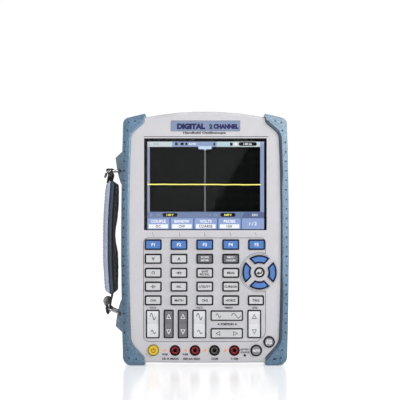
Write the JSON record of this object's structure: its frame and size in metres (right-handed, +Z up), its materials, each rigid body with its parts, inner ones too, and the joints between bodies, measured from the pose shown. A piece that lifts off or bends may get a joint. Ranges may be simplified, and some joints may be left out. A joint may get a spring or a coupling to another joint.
{
  "type": "handheld oscilloscope",
  "caption": "Upright handheld oscilloscope with a colour screen, soft keys, keypad, rockers, direction pad, meter sockets, rubber side guards, back stand and padded hand strap.",
  "frame": {"origin": "middle of the footprint of the whole object, hand strap included, on the plane the side guards stand on", "axes": "+Z up, the screen and keys face -Y, +X to the right as seen from the front"},
  "size_m": [0.1809, 0.052, 0.248],
  "materials": {
    "case_light": "fine grained",
    "guard_rubber": "matt, fine pebble",
    "key_light": "satin",
    "key_blue": "satin",
    "key_dark": "satin",
    "key_yellow": "satin",
    "key_round": "satin",
    "window": "polished",
    "display": "dark panel",
    "plate_blue": "satin",
    "mat_rubber": "matt",
    "circuit_board": "solder mask",
    "nickel": "plated",
    "socket_insulator": "moulded",
    "battery_wrap": "shrink sleeve",
    "screw_steel": "zinc plated",
    "strap_leather": "padded cover",
    "strap_web": "woven"
  },
  "bodies": {
    "case": {"front_shell": "case_light", "rear_shell": "case_light", "left_bumper": "guard_rubber", "right_bumper": "guard_rubber", "screen_window": "window", "lcd_module": "display", "name_plate": "plate_blue", "keypad_mat": "mat_rubber", "keypad_board": "circuit_board", "main_board": "circuit_board", "bnc_jacks": "nickel", "jack_housings": "socket_insulator", "jack_contacts": "nickel", "battery_pack": "battery_wrap", "battery_door": "case_light", "case_screws": "screw_steel", "port_sockets": "nickel"},
    "stand": {"tilt_stand": "case_light"},
    "connector_flap": {"port_flap": "guard_rubber"},
    "upper_ring": {"strap_ring_upper": "nickel"},
    "strap": {"strap_pad": "strap_leather", "strap_webbing": "strap_web"},
    "lower_ring": {"strap_ring_lower": "nickel"},
    "rocker_ch1_scale_body": {"rocker_ch1_scale": "key_light"},
    "rocker_ch1_position_body": {"rocker_ch1_position": "key_dark"},
    "rocker_ch2_position_body": {"rocker_ch2_position": "key_dark"},
    "rocker_ch2_scale_body": {"rocker_ch2_scale": "key_light"},
    "rocker_time_scale_body": {"rocker_time_scale": "key_light"},
    "rocker_time_position_body": {"rocker_time_position": "key_light"},
    "rocker_trigger_level_body": {"rocker_trigger_level": "key_light"},
    "key_f1_body": {"key_f1": "key_blue"},
    "key_f2_body": {"key_f2": "key_blue"},
    "key_f3_body": {"key_f3": "key_blue"},
    "key_f4_body": {"key_f4": "key_blue"},
    "key_f5_body": {"key_f5": "key_blue"},
    "key_volts_body": {"key_volts": "key_light"},
    "key_amps_body": {"key_amps": "key_light"},
    "key_scope_meter_body": {"key_scope_meter": "key_dark"},
    "key_menu_body": {"key_menu": "key_dark"},
    "key_ohms_body": {"key_ohms": "key_light"},
    "key_diode_body": {"key_diode": "key_light"},
    "key_save_recall_body": {"key_save_recall": "key_light"},
    "key_measure_body": {"key_measure": "key_light"},
    "key_capacitance_body": {"key_capacitance": "key_light"},
    "key_relative_body": {"key_relative": "key_light"},
    "key_utility_body": {"key_utility": "key_light"},
    "key_cursor_body": {"key_cursor": "key_light"},
    "key_ch1_body": {"key_ch1": "key_light"},
    "key_math_body": {"key_math": "key_light"},
    "key_ch2_body": {"key_ch2": "key_light"},
    "key_horizontal_body": {"key_horizontal": "key_light"},
    "key_trigger_body": {"key_trigger": "key_light"},
    "nav_up_body": {"nav_up": "key_blue"},
    "nav_down_body": {"nav_down": "key_blue"},
    "nav_left_body": {"nav_left": "key_blue"},
    "nav_right_body": {"nav_right": "key_blue"},
    "nav_enter_body": {"nav_enter": "key_light"},
    "power_button_body": {"power_button": "key_yellow"},
    "auto_button_body": {"auto_button": "key_round"},
    "run_stop_button_body": {"run_stop_button": "key_round"}
  },
  "joints": [
    {"name": "back_stand", "type": "hinge", "parent": "case", "child": "stand", "pos_m": [0.0088, 0.0215, 0.18], "axis": [1, 0, 0], "range_deg": [0, 55]},
    {"name": "connector_flap_hinge", "type": "hinge", "parent": "case", "child": "connector_flap", "pos_m": [0.089, 0.0206, 0.121], "axis": [0, 0, 1], "range_deg": [0, 100]},
    {"name": "hand_strap_ring", "type": "hinge", "parent": "case", "child": "upper_ring", "pos_m": [-0.0748, 0, 0.1905], "axis": [0, 1, 0], "range_deg": [-7, 7]},
    {"name": "hand_strap_swing", "type": "hinge", "parent": "upper_ring", "child": "strap", "pos_m": [-0.08599, 0, 0.18991], "axis": [0, 1, 0], "range_deg": [-12, 12]},
    {"name": "hand_strap_lower_ring", "type": "hinge", "parent": "case", "child": "lower_ring", "pos_m": [-0.0748, 0, 0.0505], "axis": [0, 1, 0], "range_deg": [-12, 12]},
    {"name": "rocker_ch1_scale_tip", "type": "hinge", "parent": "case", "child": "rocker_ch1_scale_body", "pos_m": [-0.0421, -0.01975, 0.0408], "axis": [1, 0, 0], "range_deg": [-3, 3], "stiffness_Nm_per_rad": 0.05},
    {"name": "rocker_ch1_position_tip", "type": "hinge", "parent": "case", "child": "rocker_ch1_position_body", "pos_m": [-0.0266, -0.01975, 0.0408], "axis": [1, 0, 0], "range_deg": [-3, 3], "stiffness_Nm_per_rad": 0.05},
    {"name": "rocker_ch2_position_tip", "type": "hinge", "parent": "case", "child": "rocker_ch2_position_body", "pos_m": [-0.0127, -0.01975, 0.0408], "axis": [1, 0, 0], "range_deg": [-3, 3], "stiffness_Nm_per_rad": 0.05},
    {"name": "rocker_ch2_scale_tip", "type": "hinge", "parent": "case", "child": "rocker_ch2_scale_body", "pos_m": [0.0033, -0.01975, 0.0408], "axis": [1, 0, 0], "range_deg": [-3, 3], "stiffness_Nm_per_rad": 0.05},
    {"name": "rocker_time_scale_tip", "type": "hinge", "parent": "case", "child": "rocker_time_scale_body", "pos_m": [0.03, -0.01975, 0.049], "axis": [0, 0, 1], "range_deg": [-3, 3], "stiffness_Nm_per_rad": 0.05},
    {"name": "rocker_time_position_tip", "type": "hinge", "parent": "case", "child": "rocker_time_position_body", "pos_m": [0.03, -0.01975, 0.0317], "axis": [0, 0, 1], "range_deg": [-3, 3], "stiffness_Nm_per_rad": 0.05},
    {"name": "rocker_trigger_level_tip", "type": "hinge", "parent": "case", "child": "rocker_trigger_level_body", "pos_m": [0.0568, -0.01975, 0.0408], "axis": [1, 0, 0], "range_deg": [-3, 3], "stiffness_Nm_per_rad": 0.05},
    {"name": "key_f1_press", "type": "slide", "parent": "case", "child": "key_f1_body", "axis": [0, 1, 0], "range_m": [0, 0.0012], "stiffness_N_per_m": 300, "springref_m": -0.001},
    {"name": "key_f2_press", "type": "slide", "parent": "case", "child": "key_f2_body", "axis": [0, 1, 0], "range_m": [0, 0.0012], "stiffness_N_per_m": 300, "springref_m": -0.001},
    {"name": "key_f3_press", "type": "slide", "parent": "case", "child": "key_f3_body", "axis": [0, 1, 0], "range_m": [0, 0.0012], "stiffness_N_per_m": 300, "springref_m": -0.001},
    {"name": "key_f4_press", "type": "slide", "parent": "case", "child": "key_f4_body", "axis": [0, 1, 0], "range_m": [0, 0.0012], "stiffness_N_per_m": 300, "springref_m": -0.001},
    {"name": "key_f5_press", "type": "slide", "parent": "case", "child": "key_f5_body", "axis": [0, 1, 0], "range_m": [0, 0.0012], "stiffness_N_per_m": 300, "springref_m": -0.001},
    {"name": "key_volts_press", "type": "slide", "parent": "case", "child": "key_volts_body", "axis": [0, 1, 0], "range_m": [0, 0.0012], "stiffness_N_per_m": 300, "springref_m": -0.001},
    {"name": "key_amps_press", "type": "slide", "parent": "case", "child": "key_amps_body", "axis": [0, 1, 0], "range_m": [0, 0.0012], "stiffness_N_per_m": 300, "springref_m": -0.001},
    {"name": "key_scope_meter_press", "type": "slide", "parent": "case", "child": "key_scope_meter_body", "axis": [0, 1, 0], "range_m": [0, 0.0012], "stiffness_N_per_m": 300, "springref_m": -0.001},
    {"name": "key_menu_press", "type": "slide", "parent": "case", "child": "key_menu_body", "axis": [0, 1, 0], "range_m": [0, 0.0012], "stiffness_N_per_m": 300, "springref_m": -0.001},
    {"name": "key_ohms_press", "type": "slide", "parent": "case", "child": "key_ohms_body", "axis": [0, 1, 0], "range_m": [0, 0.0012], "stiffness_N_per_m": 300, "springref_m": -0.001},
    {"name": "key_diode_press", "type": "slide", "parent": "case", "child": "key_diode_body", "axis": [0, 1, 0], "range_m": [0, 0.0012], "stiffness_N_per_m": 300, "springref_m": -0.001},
    {"name": "key_save_recall_press", "type": "slide", "parent": "case", "child": "key_save_recall_body", "axis": [0, 1, 0], "range_m": [0, 0.0012], "stiffness_N_per_m": 300, "springref_m": -0.001},
    {"name": "key_measure_press", "type": "slide", "parent": "case", "child": "key_measure_body", "axis": [0, 1, 0], "range_m": [0, 0.0012], "stiffness_N_per_m": 300, "springref_m": -0.001},
    {"name": "key_capacitance_press", "type": "slide", "parent": "case", "child": "key_capacitance_body", "axis": [0, 1, 0], "range_m": [0, 0.0012], "stiffness_N_per_m": 300, "springref_m": -0.001},
    {"name": "key_relative_press", "type": "slide", "parent": "case", "child": "key_relative_body", "axis": [0, 1, 0], "range_m": [0, 0.0012], "stiffness_N_per_m": 300, "springref_m": -0.001},
    {"name": "key_utility_press", "type": "slide", "parent": "case", "child": "key_utility_body", "axis": [0, 1, 0], "range_m": [0, 0.0012], "stiffness_N_per_m": 300, "springref_m": -0.001},
    {"name": "key_cursor_press", "type": "slide", "parent": "case", "child": "key_cursor_body", "axis": [0, 1, 0], "range_m": [0, 0.0012], "stiffness_N_per_m": 300, "springref_m": -0.001},
    {"name": "key_ch1_press", "type": "slide", "parent": "case", "child": "key_ch1_body", "axis": [0, 1, 0], "range_m": [0, 0.0012], "stiffness_N_per_m": 300, "springref_m": -0.001},
    {"name": "key_math_press", "type": "slide", "parent": "case", "child": "key_math_body", "axis": [0, 1, 0], "range_m": [0, 0.0012], "stiffness_N_per_m": 300, "springref_m": -0.001},
    {"name": "key_ch2_press", "type": "slide", "parent": "case", "child": "key_ch2_body", "axis": [0, 1, 0], "range_m": [0, 0.0012], "stiffness_N_per_m": 300, "springref_m": -0.001},
    {"name": "key_horizontal_press", "type": "slide", "parent": "case", "child": "key_horizontal_body", "axis": [0, 1, 0], "range_m": [0, 0.0012], "stiffness_N_per_m": 300, "springref_m": -0.001},
    {"name": "key_trigger_press", "type": "slide", "parent": "case", "child": "key_trigger_body", "axis": [0, 1, 0], "range_m": [0, 0.0012], "stiffness_N_per_m": 300, "springref_m": -0.001},
    {"name": "nav_up_press", "type": "slide", "parent": "case", "child": "nav_up_body", "axis": [0, 1, 0], "range_m": [0, 0.0012], "stiffness_N_per_m": 300, "springref_m": -0.001},
    {"name": "nav_down_press", "type": "slide", "parent": "case", "child": "nav_down_body", "axis": [0, 1, 0], "range_m": [0, 0.0012], "stiffness_N_per_m": 300, "springref_m": -0.001},
    {"name": "nav_left_press", "type": "slide", "parent": "case", "child": "nav_left_body", "axis": [0, 1, 0], "range_m": [0, 0.0012], "stiffness_N_per_m": 300, "springref_m": -0.001},
    {"name": "nav_right_press", "type": "slide", "parent": "case", "child": "nav_right_body", "axis": [0, 1, 0], "range_m": [0, 0.0012], "stiffness_N_per_m": 300, "springref_m": -0.001},
    {"name": "nav_enter_press", "type": "slide", "parent": "case", "child": "nav_enter_body", "axis": [0, 1, 0], "range_m": [0, 0.0012], "stiffness_N_per_m": 300, "springref_m": -0.001},
    {"name": "power_button_press", "type": "slide", "parent": "case", "child": "power_button_body", "axis": [0, 1, 0], "range_m": [0, 0.0012], "stiffness_N_per_m": 300, "springref_m": -0.001},
    {"name": "auto_button_press", "type": "slide", "parent": "case", "child": "auto_button_body", "axis": [0, 1, 0], "range_m": [0, 0.0012], "stiffness_N_per_m": 300, "springref_m": -0.001},
    {"name": "run_stop_button_press", "type": "slide", "parent": "case", "child": "run_stop_button_body", "axis": [0, 1, 0], "range_m": [0, 0.0012], "stiffness_N_per_m": 300, "springref_m": -0.001}
  ],
  "couplings": [
    {"joint": "hand_strap_swing", "follows": "hand_strap_ring", "ratio": -1.0405},
    {"joint": "hand_strap_lower_ring", "follows": "hand_strap_ring", "ratio": 1.0926}
  ]
}
